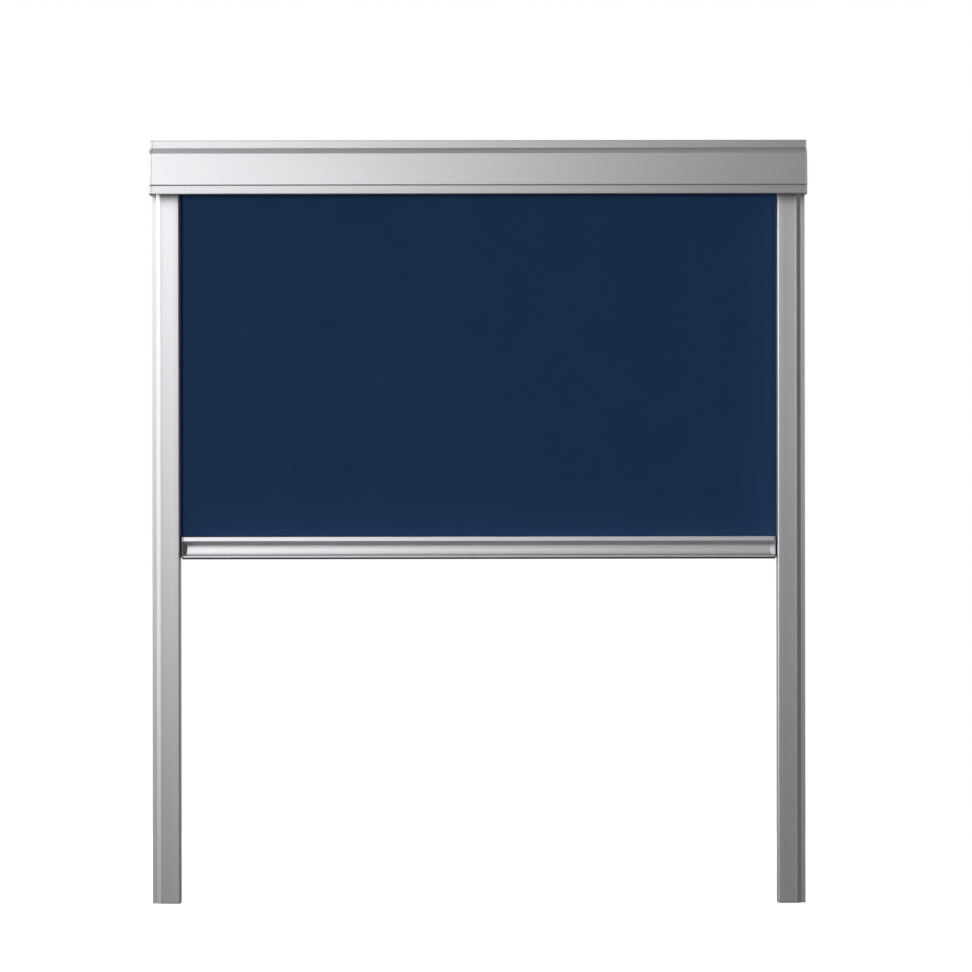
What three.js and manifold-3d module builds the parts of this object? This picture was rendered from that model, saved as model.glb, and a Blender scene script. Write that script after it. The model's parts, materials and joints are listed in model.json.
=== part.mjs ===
// Blackout roller blind for a roof window: head cassette, side rails, cloth and pull bar.
// Millimetres, +Z up, X across the blind, the room side facing -Y.
// The origin lies on the back face of the cassette, half-way across, level with the roller's axis.

import * as THREE from 'three';
import { mergeVertices } from 'three/addons/utils/BufferGeometryUtils.js';
import Module from 'manifold-3d';

const wasm = await Module();
wasm.setup();

// Clearances
const fitGap = 0.3;
const seamGap = 0.2;
const runningGap = 0.5;
const parkGap = 1;
const cutOverrun = 1;

// Head cassette, over all
const cassetteWidth = 613;
const cassetteHeight = 51;
const cassetteDepth = 50;
const cassetteWall = 1.6;

// Front of the cassette, from the top down
const lipHeight = 7.4;
const shoulderHeight = 5.4;
const shoulderRun = 7;
const faceLean = 3;
const grooveHeight = 1.8;
const grooveDepth = 0.7;
const stripHeight = 6.4;
const stripSetback = 1.6;
const stripReturn = 2.6;
const hookRise = 3.2;
const edgeRadius = 0.9;

// Screw ports of the back profile, their screws, and the fixing holes in its back
const portRadius = 3;
const portBoreRadius = 1.5;
const portSlit = 1.4;
const portBite = 0.6;
const screwShankRadius = 1.2;
const screwHeadRadius = 2.8;
const screwHeadHeight = 1.7;
const screwLength = 14;
const screwSlotWidth = 0.7;
const screwSlotLength = 3.2;
const screwSlotDepth = 0.9;
const screwHoleRadius = 1.7;
const fixingHoleRadius = 2.2;
const cassetteFixingSpan = 420;
const cassetteFixingRise = 14;

// End caps of the cassette
const endPlate = 2.2;
const rimDepth = 4;
const rimWall = 1.4;
const rimInset = 4;
const bossRadius = 7;
const socketFloor = 1;

// Side rails
const railWidth = 25.9;
const railDepth = 26;
const railWall = 1.4;
const railLength = 663.7;
const railEngagement = 6.5;
const flangeWidth = 4.1;
const flangeDrop = 3;
const chamferWidth = 3.7;
const railEdgeRadius = 1.3;
const railFaceMargin = 7.1;
const railRecessWidth = 9.8;
const railRecessDepth = 0.15;
const slotWidth = 7.4;
const slotLip = 1.5;
const rearLipSetback = 1.2;
const tongueWidth = 6.4;
const tongueReach = 13;
const tongueRoot = 8;
const railHoleRadius = 2.1;
const railHoleShares = [0.06, 0.5, 0.94];
const footPlate = 1.5;
const footPlugHeight = 10;
const footStopHeight = 6;

// Cloth
const clothThickness = 0.35;
const clothSlotReach = 9.7;
const clothSlotRoom = 1;
const clothSpareTurns = 1.5;

// Roller
const tubeRadius = 12.5;
const tubeWall = 1.2;
const tubeOverhang = 3;
const rollRoom = 1.6;
const keyGrooveWidth = 2.6;
const keyGrooveDepth = 1.7;
const keyWall = 1.1;
const plugLength = 18;
const plugRibDepth = 1.2;
const plugRibWidth = 2.4;
const plugRibCount = 6;
const flangeRadius = 13.4;
const flangeThickness = 1.4;
const hubRadius = 6;
const hubLength = 9;
const shaftRadius = 3;
const shaftFlat = 1.9;
const shaftOverhang = 5;

// Torsion spring on the shaft
const wireRadius = 0.7;
const coilRadius = 7.4;
const springTurns = 34;
const springPitch = 2.9;
const anchorLength = 10;
const anchorFlange = 2;

// Pull bar, from its top down
const barDrop = 319.6;
const barHeight = 19.6;
const barFrontSetback = 3.2;
const barWall = 1.2;
const barLipHeight = 4;
const barLipLean = 0.4;
const undercutHeight = 3.9;
const scoopRadius = 20;
const scoopCentreRise = 3;
const scoopDepth = 7;
const scoopEndRun = 4.5;
const ledgeHeight = 1;
const lowerLipHeight = 2;
const lowerLipSetback = 0.4;
const barEdgeRadius = 0.35;
const barSideGap = 1.7;
const barEndPlate = 1.4;
const barEndFlat = 0.3;
const barPlugLength = 12;
const splineRadius = 1.55;
const splineDepth = 3.6;
const hemSlit = 1.2;
const sealThickness = 1;
const sealHeight = 2.2;
const sealHang = 1.4;
const sealSetback = 1.3;

// Slider and brake at each end of the pull bar
const shoeRise = 4;
const shoeHeight = 26;
const shoeBackRoom = 0.7;
const shoeLug = 3;
const brakeRoom = 4.5;
const brakeSpringWall = 0.35;
const brakeBow = 0.8;
const padThickness = 2.3;
const padChamfer = 0.8;
const shoeWall = 1.2;
const barTongueHeight = 13;
const barTongueLength = 14;

// The longest part of an edge that a rounded corner may use up
const cornerShare = 0.45;

// Facet counts
const cornerSteps = 4;
const roundSides = 32;
const smallSides = 12;
const holeSides = 12;
const scoopSteps = 12;
const rollSides = 48;
const bowSteps = 10;
const wireSides = 5;
const stepsPerTurn = 8;

// Places that follow from the sizes above: heights of the cassette's front
const topZ = cassetteHeight / 2;
const bottomZ = -cassetteHeight / 2;
const lipFootZ = topZ - lipHeight;
const shoulderFootZ = lipFootZ - shoulderHeight;
const stripHeadZ = bottomZ + stripHeight;
const faceFootZ = stripHeadZ + grooveHeight;

// Depths of the cassette's front
const faceFootY = -cassetteDepth;
const faceHeadY = faceFootY + faceLean;
const lipY = faceHeadY + shoulderRun;
const stripY = faceFootY + stripSetback;
const grooveY = stripY + grooveDepth;

// Rails
const railTopZ = bottomZ + railEngagement;
const railBottomZ = bottomZ - railLength;
const railFootZ = railBottomZ + footPlate + seamGap;
const railFrontY = -railDepth;
const railOuterX = -cassetteWidth / 2;
const railInnerX = railOuterX + railWidth;
const recessInnerX = railInnerX - railFaceMargin;
const recessOuterX = recessInnerX - railRecessWidth;
const rearLipX = railInnerX - rearLipSetback;
const lipX = rearLipX - railWall;
const webFootZ = railTopZ + fitGap;

// Pull bar and slider heights at rest, and how far the bar travels
const barTopZ = bottomZ - barDrop;
const barFootZ = barTopZ - barHeight;
const shoeTopZ = barTopZ + shoeRise;
const shoeFootZ = shoeTopZ - shoeHeight;
const splineZ = barTopZ - splineDepth;
const clothFootZ = splineZ + splineRadius + fitGap;
const travelUp = barDrop - parkGap;
const travelDown = shoeFootZ - (railBottomZ + footPlate + footStopHeight + runningGap);

// Radius of the wound cloth for a given wound length
const rollCoreRadius = tubeRadius + fitGap;
const spareCloth = clothSpareTurns * 2 * Math.PI * rollCoreRadius;
function rollRadius(woundLength) {
  return Math.sqrt(rollCoreRadius ** 2 + (woundLength * clothThickness) / Math.PI);
}
const rollRestRadius = rollRadius(spareCloth + travelDown);
const rollFullRadius = rollRadius(spareCloth + travelDown + travelUp);

// The cloth leaves the back of the roll, so its plane follows the roller's axis
const axisY = -(cassetteWall + rollRoom + rollFullRadius);
const clothY = axisY + rollRestRadius;
const slotRearY = clothY + clothSlotRoom;
const slotFrontY = slotRearY - slotWidth;
const channelFrontY = slotFrontY - slotLip;
const channelRearY = -railWall;
const chamberRearY = channelFrontY - railWall;

// Lengths across the blind
const profileHalf = cassetteWidth / 2 - endPlate - seamGap;
const clothHalf = -railInnerX + clothSlotReach;
const tubeHalf = clothHalf + tubeOverhang;
const bossEndX = -tubeHalf - flangeThickness - seamGap - runningGap;
const barEndX = railInnerX + barSideGap;
const barProfileHalf = -barEndX - barEndPlate - seamGap;

// Depths of the pull bar
const barFrontY = railFrontY + barFrontSetback;
const splineGrooveRadius = splineRadius + fitGap;
const barRearY = clothY + splineGrooveRadius + barWall;
const scoopBackY = barFrontY + scoopDepth;
const scoopCentreY = scoopBackY - scoopRadius;
const barLipHeadY = barFrontY + barLipLean;
const lowerLipY = barFrontY + lowerLipSetback;
const sealGrooveY = [lowerLipY + sealSetback, lowerLipY + sealSetback + sealThickness + 2 * fitGap];

// Heights of the pull bar
const undercutHeadZ = barTopZ - barLipHeight;
const scoopHeadZ = undercutHeadZ - undercutHeight;
const lowerLipHeadZ = barFootZ + lowerLipHeight;
const scoopFootZ = lowerLipHeadZ + ledgeHeight;
const scoopCentreZ = (scoopHeadZ + scoopFootZ) / 2 + scoopCentreRise;
const sealFootZ = barFootZ - sealHang;
const sealGrooveZ = sealFootZ + sealHeight + fitGap;

// Slider and brake
const channelOuterX = railOuterX + railWall;
const shoeOuterX = channelOuterX + brakeRoom;
const shoeInnerX = lipX - runningGap;
const shoeY = [channelFrontY + runningGap, clothY - shoeBackRoom];
const neckFrontY = slotFrontY + runningGap;
const pocketY = [neckFrontY + shoeWall, shoeY[1] - shoeWall];
const padMiddleZ = (shoeTopZ + shoeFootZ) / 2;
const padHalf = shoeHeight / 2 - shoeLug - fitGap;

// Finishes
const colours = {
  aluminium: [0xc3c4c8, 0.36, 0.85],
  plastic: [0xaeb0b4, 0.55, 0],
  darkPlastic: [0x3c3e42, 0.6, 0],
  steel: [0x9a9da1, 0.3, 1],
  cloth: [0x1c2e46, 0.95, 0],
  rubber: [0x1d1e20, 0.9, 0],
  felt: [0x55575b, 0.95, 0],
};

function finish(name) {
  const [color, roughness, metalness] = colours[name];
  return new THREE.MeshStandardMaterial({ color, roughness, metalness });
}

// Outlines: a corner is [across, up, radius], and the radius may be left out

function rounded(corners, closed = true) {
  const points = [];
  const count = corners.length;
  corners.forEach(([across, up, radius = 0], index) => {
    const here = new THREE.Vector2(across, up);
    const isEnd = !closed && (index === 0 || index === count - 1);
    if (radius === 0 || isEnd) {
      points.push(here);
      return;
    }
    const before = new THREE.Vector2(...corners[(index + count - 1) % count]).sub(here);
    const after = new THREE.Vector2(...corners[(index + 1) % count]).sub(here);
    const shortest = Math.min(before.length(), after.length());
    before.normalize();
    after.normalize();
    const half = Math.acos(THREE.MathUtils.clamp(before.dot(after), -1, 1)) / 2;
    const reach = Math.min(radius / Math.tan(half), shortest * cornerShare);
    const centreReach = reach / Math.cos(half);
    const centre = before.clone().add(after).normalize().multiplyScalar(centreReach).add(here);
    const from = before.multiplyScalar(reach).add(here).sub(centre);
    const to = after.multiplyScalar(reach).add(here).sub(centre);
    const turn = Math.atan2(from.cross(to), from.dot(to));
    for (let step = 0; step <= cornerSteps; step += 1) {
      const angle = (turn * step) / cornerSteps;
      points.push(from.clone().rotateAround(new THREE.Vector2(), angle).add(centre));
    }
  });
  return points;
}

// An open line moved sideways by a distance, with mitred corners
function shifted(line, distance) {
  return line.map((here, index) => {
    const before = line[Math.max(index - 1, 0)];
    const after = line[Math.min(index + 1, line.length - 1)];
    const into = here.clone().sub(before);
    const out = after.clone().sub(here);
    if (index === 0) {
      into.copy(out);
    }
    if (index === line.length - 1) {
      out.copy(into);
    }
    into.normalize();
    out.normalize();
    const mitre = new THREE.Vector2(-into.y - out.y, into.x + out.x).normalize();
    const squareness = mitre.x * -into.y + mitre.y * into.x;
    return here.clone().addScaledVector(mitre, distance / squareness);
  });
}

function sharp(corners) {
  return corners.map(([across, up]) => new THREE.Vector2(across, up));
}

// The closed outline of a wall whose rounded side follows the corners and whose far side stays sharp
function wallOutline(corners, thickness) {
  return [...rounded(corners, false), ...shifted(sharp(corners), thickness).reverse()];
}

function arc(centreAcross, centreUp, radius, fromAngle, toAngle, steps) {
  const points = [];
  for (let step = 0; step <= steps; step += 1) {
    const angle = fromAngle + ((toAngle - fromAngle) * step) / steps;
    const across = centreAcross + radius * Math.cos(angle);
    points.push(new THREE.Vector2(across, centreUp + radius * Math.sin(angle)));
  }
  return points;
}

function circle(centreAcross, centreUp, radius, sides) {
  return arc(centreAcross, centreUp, radius, 0, 2 * Math.PI, sides).slice(0, sides);
}

function rectangle(lowAcross, highAcross, lowUp, highUp) {
  return rounded([[lowAcross, lowUp], [highAcross, lowUp], [highAcross, highUp], [lowAcross, highUp]]);
}

// Solids

function extruded(outline, depth, holes = []) {
  const shape = new THREE.Shape(outline);
  shape.holes = holes.map((hole) => new THREE.Path(hole));
  return new THREE.ExtrudeGeometry(shape, { depth, steps: 1, bevelEnabled: false });
}

// A section drawn in Y and Z, run along X
function alongX(outline, fromX, toX, holes = []) {
  const geometry = extruded(outline, toX - fromX, holes);
  const yAxis = new THREE.Vector3(0, 1, 0);
  const zAxis = new THREE.Vector3(0, 0, 1);
  const xAxis = new THREE.Vector3(1, 0, 0);
  return geometry.applyMatrix4(new THREE.Matrix4().makeBasis(yAxis, zAxis, xAxis)).translate(fromX, 0, 0);
}

// A section drawn in X and Y, run along Z
function alongZ(outline, fromZ, toZ, holes = []) {
  return extruded(outline, toZ - fromZ, holes).translate(0, 0, fromZ);
}

// A section drawn in X and Z, run along Y
function alongY(outline, fromY, toY) {
  return extruded(outline, toY - fromY).rotateX(Math.PI / 2).translate(0, toY, 0);
}

function block(x, y, z) {
  const size = [x, y, z].map(([low, high]) => high - low);
  const middle = [x, y, z].map(([low, high]) => (low + high) / 2);
  return new THREE.BoxGeometry(...size).translate(...middle);
}

function cylinderX(y, z, radius, fromX, toX, sides = roundSides) {
  return alongX(circle(y, z, radius, sides), fromX, toX);
}

// A closed profile of [radius, along] pairs turned about an axis that runs along X
function revolvedX(profile, y, z, sides = roundSides) {
  const points = profile.map(([radius, along]) => new THREE.Vector2(radius, along));
  return new THREE.LatheGeometry(points, sides).rotateZ(-Math.PI / 2).translate(0, y, z);
}

function positionsOnly(geometry) {
  const bare = geometry.clone();
  bare.deleteAttribute('normal');
  bare.deleteAttribute('uv');
  return mergeVertices(bare);
}

function toSolid(geometry) {
  const merged = positionsOnly(geometry);
  const corners = merged.index.array;
  const kept = [];
  for (let start = 0; start < corners.length; start += 3) {
    const [a, b, c] = corners.slice(start, start + 3);
    if (a !== b && b !== c && c !== a) {
      kept.push(a, b, c);
    }
  }
  const vertProperties = new Float32Array(merged.attributes.position.array);
  const triVerts = new Uint32Array(kept);
  return new wasm.Manifold(new wasm.Mesh({ numProp: 3, vertProperties, triVerts }));
}

function toGeometry(solid) {
  const mesh = solid.getMesh();
  const geometry = new THREE.BufferGeometry();
  geometry.setAttribute('position', new THREE.BufferAttribute(mesh.vertProperties, 3));
  geometry.setIndex(new THREE.BufferAttribute(mesh.triVerts, 1));
  return geometry;
}

// The first shape with the others joined on
function joined(first, ...others) {
  return toGeometry(others.reduce((sum, other) => sum.add(toSolid(other)), toSolid(first)));
}

// The first shape with the others cut away
function cut(first, ...others) {
  return toGeometry(others.reduce((rest, other) => rest.subtract(toSolid(other)), toSolid(first)));
}

// What the two shapes share
function common(first, second) {
  return toGeometry(toSolid(first).intersect(toSolid(second)));
}

// The same shape on the other side of the blind
function mirrored(geometry) {
  const source = positionsOnly(geometry).applyMatrix4(new THREE.Matrix4().makeScale(-1, 1, 1));
  const corners = source.index.array.slice();
  for (let start = 0; start < corners.length; start += 3) {
    [corners[start], corners[start + 1]] = [corners[start + 1], corners[start]];
  }
  source.setIndex(new THREE.BufferAttribute(corners, 1));
  return source;
}

// Cassette

const portPlaces = [
  [-(cassetteWall + portRadius - portBite), topZ - cassetteWall - portRadius + portBite],
  [lipY + 2 * cassetteWall + seamGap + fitGap + portRadius, topZ - cassetteWall - portRadius + portBite],
];

function cassetteBackProfile() {
  const corners = [
    [lipY, lipFootZ],
    [lipY, topZ, edgeRadius],
    [0, topZ, edgeRadius],
    [0, webFootZ],
  ];
  let profile = alongX(wallOutline(corners, -cassetteWall), -profileHalf, profileHalf);
  for (const [y, z] of portPlaces) {
    const slit = rectangle(y - portSlit / 2, y + portSlit / 2, z - portRadius - cutOverrun, z);
    const cutHalf = profileHalf + cutOverrun;
    profile = joined(profile, cylinderX(y, z, portRadius, -profileHalf, profileHalf, smallSides));
    profile = cut(
      profile,
      cylinderX(y, z, portBoreRadius, -cutHalf, cutHalf, smallSides),
      alongX(slit, -cutHalf, cutHalf),
    );
  }
  for (const side of [-1, 1]) {
    const hole = circle((side * cassetteFixingSpan) / 2, cassetteFixingRise, fixingHoleRadius, holeSides);
    profile = cut(profile, alongY(hole, -cassetteWall - cutOverrun, cutOverrun));
  }
  return profile;
}

function cassetteFrontCover() {
  const hookY = lipY + cassetteWall + seamGap;
  const headZ = lipFootZ - seamGap;
  const corners = [
    [hookY, lipFootZ + hookRise],
    [hookY, headZ],
    [lipY, headZ],
    [faceHeadY, shoulderFootZ, edgeRadius],
    [faceFootY, faceFootZ, edgeRadius],
    [grooveY, faceFootZ],
    [grooveY, stripHeadZ],
    [stripY, stripHeadZ],
    [stripY, bottomZ, edgeRadius],
    [stripY + stripReturn, bottomZ],
  ];
  return alongX(wallOutline(corners, cassetteWall), -profileHalf, profileHalf);
}

function endCapPlate() {
  const notchY = railFrontY - fitGap;
  return alongX(rounded([
    [0, webFootZ],
    [0, topZ, edgeRadius],
    [lipY, topZ, edgeRadius],
    [lipY, lipFootZ],
    [faceHeadY, shoulderFootZ, edgeRadius],
    [faceFootY, faceFootZ, edgeRadius],
    [stripY, faceFootZ],
    [stripY, bottomZ, edgeRadius],
    [notchY, bottomZ],
    [notchY, webFootZ],
  ]), railOuterX, railOuterX + endPlate);
}

// A countersunk head and a shank, from the outer face of the end cap inward
function screwProfile(headRadius, shankRadius, length) {
  return [
    [0, railOuterX],
    [headRadius, railOuterX],
    [shankRadius, railOuterX + screwHeadHeight],
    [shankRadius, railOuterX + length],
    [0, railOuterX + length],
  ];
}

// Depth of the leaning front face at a height
function faceY(z) {
  return THREE.MathUtils.mapLinear(z, shoulderFootZ, faceFootZ, faceHeadY, faceFootY);
}

function cassetteEndCap() {
  const plateInnerX = railOuterX + endPlate;
  const rimEndX = plateInnerX + rimDepth;
  const inset = cassetteWall + fitGap;
  const backLine = [[0, webFootZ + rimInset], [0, topZ], [lipY + cassetteWall + rimInset, topZ]];
  const frontLine = [shoulderFootZ - rimInset, faceFootZ + rimInset].map((z) => [faceY(z), z]);
  const [backRim, frontRim] = [backLine, frontLine].map((line) => {
    const near = shifted(sharp(line), inset);
    return [...near, ...shifted(near, rimWall).reverse()];
  });
  const tongueY = [chamberRearY - fitGap - tongueWidth, chamberRearY - fitGap];
  const tongueOuterX = railOuterX + railWall + fitGap;
  const tongueX = [tongueOuterX, bossEndX];
  let cap = joined(
    endCapPlate(),
    alongX(backRim, plateInnerX - cutOverrun, rimEndX),
    alongX(frontRim, plateInnerX - cutOverrun, rimEndX),
    cylinderX(axisY, 0, bossRadius, plateInnerX - cutOverrun, bossEndX),
    block(tongueX, tongueY, [railTopZ - tongueReach, railTopZ + tongueRoot]),
  );
  const socketX = [railOuterX + endPlate + socketFloor, bossEndX + cutOverrun];
  const socketRadius = shaftRadius + fitGap;
  const socketFlat = shaftFlat + fitGap;
  const socket = common(
    cylinderX(axisY, 0, socketRadius, ...socketX),
    block(socketX, [axisY - socketRadius, axisY + socketRadius], [-socketFlat, socketFlat]),
  );
  cap = cut(cap, socket);
  for (const [y, z] of portPlaces) {
    const headRoom = screwHeadRadius + fitGap;
    cap = cut(
      cap,
      cylinderX(y, z, portRadius + fitGap, plateInnerX, rimEndX + cutOverrun),
      revolvedX(screwProfile(headRoom, screwHoleRadius, endPlate + cutOverrun), y, z, smallSides),
    );
  }
  return cap;
}

function endCapScrew([y, z]) {
  const halfSlot = screwSlotLength / 2;
  const halfWidth = screwSlotWidth / 2;
  const slotX = [railOuterX - cutOverrun, railOuterX + screwSlotDepth];
  return cut(
    revolvedX(screwProfile(screwHeadRadius, screwShankRadius, screwLength), y, z, smallSides),
    block(slotX, [y - halfSlot, y + halfSlot], [z - halfWidth, z + halfWidth]),
    block(slotX, [y - halfWidth, y + halfWidth], [z - halfSlot, z + halfSlot]),
  );
}

// Side rails

function railOutline() {
  return [
    [railOuterX, 0],
    [railOuterX, railFrontY + flangeDrop],
    [railOuterX + flangeWidth, railFrontY + flangeDrop],
    [railOuterX + flangeWidth + chamferWidth, railFrontY],
    [recessOuterX, railFrontY],
    [recessOuterX, railFrontY + railRecessDepth],
    [recessInnerX, railFrontY + railRecessDepth],
    [recessInnerX, railFrontY],
    [railInnerX, railFrontY, railEdgeRadius],
  ];
}

function railChamber(inset) {
  const wall = railWall + inset;
  return [
    [railOuterX + wall, chamberRearY - inset],
    [railOuterX + wall, railFrontY + flangeDrop + wall],
    [railOuterX + flangeWidth + inset, railFrontY + flangeDrop + wall],
    [railOuterX + flangeWidth + chamferWidth + inset, railFrontY + wall],
    [railInnerX - wall, railFrontY + wall],
    [railInnerX - wall, chamberRearY - inset],
  ];
}

function sideRail() {
  const outline = rounded([
    ...railOutline(),
    [railInnerX, slotFrontY],
    [lipX, slotFrontY],
    [lipX, channelFrontY],
    [channelOuterX, channelFrontY],
    [channelOuterX, channelRearY],
    [lipX, channelRearY],
    [lipX, slotRearY],
    [rearLipX, slotRearY],
    [rearLipX, 0],
  ]);
  let rail = alongZ(outline, railFootZ, railTopZ, [rounded(railChamber(0))]);
  for (const share of railHoleShares) {
    const z = THREE.MathUtils.lerp(railTopZ, railFootZ, share);
    const fromX = railOuterX - cutOverrun;
    const toX = channelOuterX + cutOverrun;
    rail = cut(rail, cylinderX((slotFrontY + slotRearY) / 2, z, railHoleRadius, fromX, toX, holeSides));
  }
  return rail;
}

function railFootCap() {
  const plateTopZ = railBottomZ + footPlate;
  const stopY = [channelFrontY + fitGap, channelRearY - fitGap];
  const stopX = [channelOuterX + fitGap, lipX - fitGap];
  return joined(
    alongZ(rounded([...railOutline(), [railInnerX, slotFrontY], [rearLipX, slotFrontY], [rearLipX, 0]]),
      railBottomZ, plateTopZ),
    alongZ(rounded(railChamber(fitGap)), railBottomZ, plateTopZ + footPlugHeight),
    block(stopX, stopY, [railBottomZ, plateTopZ + footStopHeight]),
  );
}

// Roller

// The strip of the tube that holds the cloth groove, as a block widened by a gap
function keyBlock(widthHalf, innerRadius, outerRadius, halfLength) {
  const y = [axisY - widthHalf, axisY + widthHalf];
  return block([-halfLength, halfLength], y, [innerRadius, outerRadius]);
}

const keyFloorRadius = tubeRadius - keyGrooveDepth;

function rollerTube() {
  const bore = circle(axisY, 0, tubeRadius - tubeWall, roundSides);
  const ring = alongX(circle(axisY, 0, tubeRadius, roundSides), -tubeHalf, tubeHalf, [bore]);
  const keyHalf = keyGrooveWidth / 2;
  const carrier = keyBlock(keyHalf + keyWall, keyFloorRadius - keyWall, tubeRadius - tubeWall / 2, tubeHalf);
  const groove = keyBlock(keyHalf, keyFloorRadius, tubeRadius + cutOverrun, tubeHalf + cutOverrun);
  return cut(joined(ring, carrier), groove);
}

function clothKey() {
  const keyHalf = keyGrooveWidth / 2 - fitGap;
  return keyBlock(keyHalf, keyFloorRadius + fitGap, tubeRadius - fitGap, clothHalf);
}

function tubePlug() {
  const bodyRadius = tubeRadius - tubeWall - fitGap;
  const boreRadius = shaftRadius + fitGap;
  const outerX = -tubeHalf - seamGap;
  const body = revolvedX([
    [boreRadius, outerX - flangeThickness],
    [flangeRadius, outerX - flangeThickness],
    [flangeRadius, outerX],
    [bodyRadius, outerX],
    [bodyRadius, outerX + plugLength],
    [hubRadius, outerX + plugLength],
    [hubRadius, outerX + plugLength + hubLength],
    [boreRadius, outerX + plugLength + hubLength],
    [boreRadius, outerX - flangeThickness],
  ], axisY, 0);
  const keyRoom = keyGrooveWidth / 2 + keyWall + fitGap;
  const cuts = [
    block(
      [outerX, outerX + plugLength + cutOverrun],
      [axisY - keyRoom, axisY + keyRoom],
      [keyFloorRadius - keyWall - fitGap, bodyRadius + cutOverrun],
    ),
  ];
  for (let rib = 1; rib < plugRibCount; rib += 1) {
    const valley = block(
      [outerX, outerX + plugLength + cutOverrun],
      [-plugRibWidth / 2, plugRibWidth / 2],
      [bodyRadius - plugRibDepth, bodyRadius + cutOverrun],
    );
    cuts.push(valley.rotateX((2 * Math.PI * rib) / plugRibCount).translate(0, axisY, 0));
  }
  return cut(body, ...cuts);
}

// Layers under the outermost one, which leaves the roll as the hanging cloth
function clothRoll() {
  const outer = [];
  for (let step = 0; step < rollSides; step += 1) {
    const turn = step / rollSides;
    const radius = rollRestRadius - clothThickness - fitGap - clothThickness * turn;
    const angle = 2 * Math.PI * turn;
    outer.push(new THREE.Vector2(axisY + radius * Math.cos(angle), radius * Math.sin(angle)));
  }
  return alongX(outer, -clothHalf, clothHalf, [circle(axisY, 0, rollCoreRadius, roundSides)]);
}

// The hanging cloth runs from the back of the roll into the slit of the pull bar
function clothDrop() {
  const y = [clothY - clothThickness / 2, clothY + clothThickness / 2];
  return block([-clothHalf, clothHalf], y, [clothFootZ, 0]);
}

// Shaft, pin and spring

// A bar about the roller's axis, with two flats over the length that the end cap grips
function grippedPin(outerX, innerX) {
  const flatsX = [outerX - cutOverrun, bossEndX + fitGap];
  const y = [axisY - shaftRadius, axisY + shaftRadius];
  return cut(
    cylinderX(axisY, 0, shaftRadius, outerX, innerX),
    block(flatsX, y, [shaftFlat, shaftRadius + cutOverrun]),
    block(flatsX, y, [-shaftRadius - cutOverrun, -shaftFlat]),
  );
}

const pinOuterX = railOuterX + endPlate + socketFloor + fitGap;
const springOuterX = -tubeHalf - seamGap + plugLength + hubLength + fitGap;
const wireLead = 2 * wireRadius;
const springLength = springTurns * springPitch + 2 * wireLead;

const anchorX = springOuterX + springLength + fitGap;

function springShaft() {
  return grippedPin(pinOuterX, anchorX + anchorLength + shaftOverhang);
}

function idlePin() {
  const innerX = -tubeHalf - seamGap + plugLength + hubLength;
  return mirrored(grippedPin(pinOuterX, innerX));
}

// The collar on the shaft that holds the still end of the spring
function springAnchor() {
  const boreRadius = shaftRadius + fitGap;
  return revolvedX([
    [boreRadius, anchorX],
    [coilRadius + wireRadius, anchorX],
    [coilRadius + wireRadius, anchorX + anchorFlange],
    [hubRadius, anchorX + anchorFlange],
    [hubRadius, anchorX + anchorLength],
    [boreRadius, anchorX + anchorLength],
    [boreRadius, anchorX],
  ], axisY, 0);
}

class SpringCurve extends THREE.Curve {
  getPoint(share, target = new THREE.Vector3()) {
    const along = share * springLength;
    const wound = THREE.MathUtils.clamp(along - wireLead, 0, springTurns * springPitch);
    const angle = (2 * Math.PI * wound) / springPitch;
    const y = axisY + coilRadius * Math.cos(angle);
    return target.set(springOuterX + along, y, coilRadius * Math.sin(angle));
  }
}

function torsionSpring() {
  const path = new SpringCurve();
  const steps = springTurns * stepsPerTurn + 2;
  path.arcLengthDivisions = steps * stepsPerTurn;
  const wire = new THREE.Shape(circle(0, 0, wireRadius, wireSides));
  return new THREE.ExtrudeGeometry(wire, { steps, bevelEnabled: false, extrudePath: path });
}

// Least gap between one turn of the spring and the next, measured on points of its line
function springSelfGap() {
  const path = new SpringCurve();
  const samples = springTurns * stepsPerTurn;
  const points = path.getPoints(samples);
  let least = Infinity;
  points.forEach((point, index) => {
    for (const other of points.slice(index + stepsPerTurn / 2)) {
      least = Math.min(least, point.distanceTo(other));
    }
  });
  return least - 2 * wireRadius;
}

console.log(`torsion spring, least gap to itself: ${springSelfGap().toFixed(2)} mm`);

// Pull bar

// The concave back of the finger scoop, from the top down, moved out by an offset
function scoopLine(offset, headZ, footZ) {
  const radius = scoopRadius + offset;
  const headAngle = Math.asin(Math.min((headZ - scoopCentreZ) / radius, 1));
  const footAngle = Math.asin(Math.max((footZ - scoopCentreZ) / radius, -1));
  return arc(scoopCentreY, scoopCentreZ, radius, headAngle, footAngle, scoopSteps);
}

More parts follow.
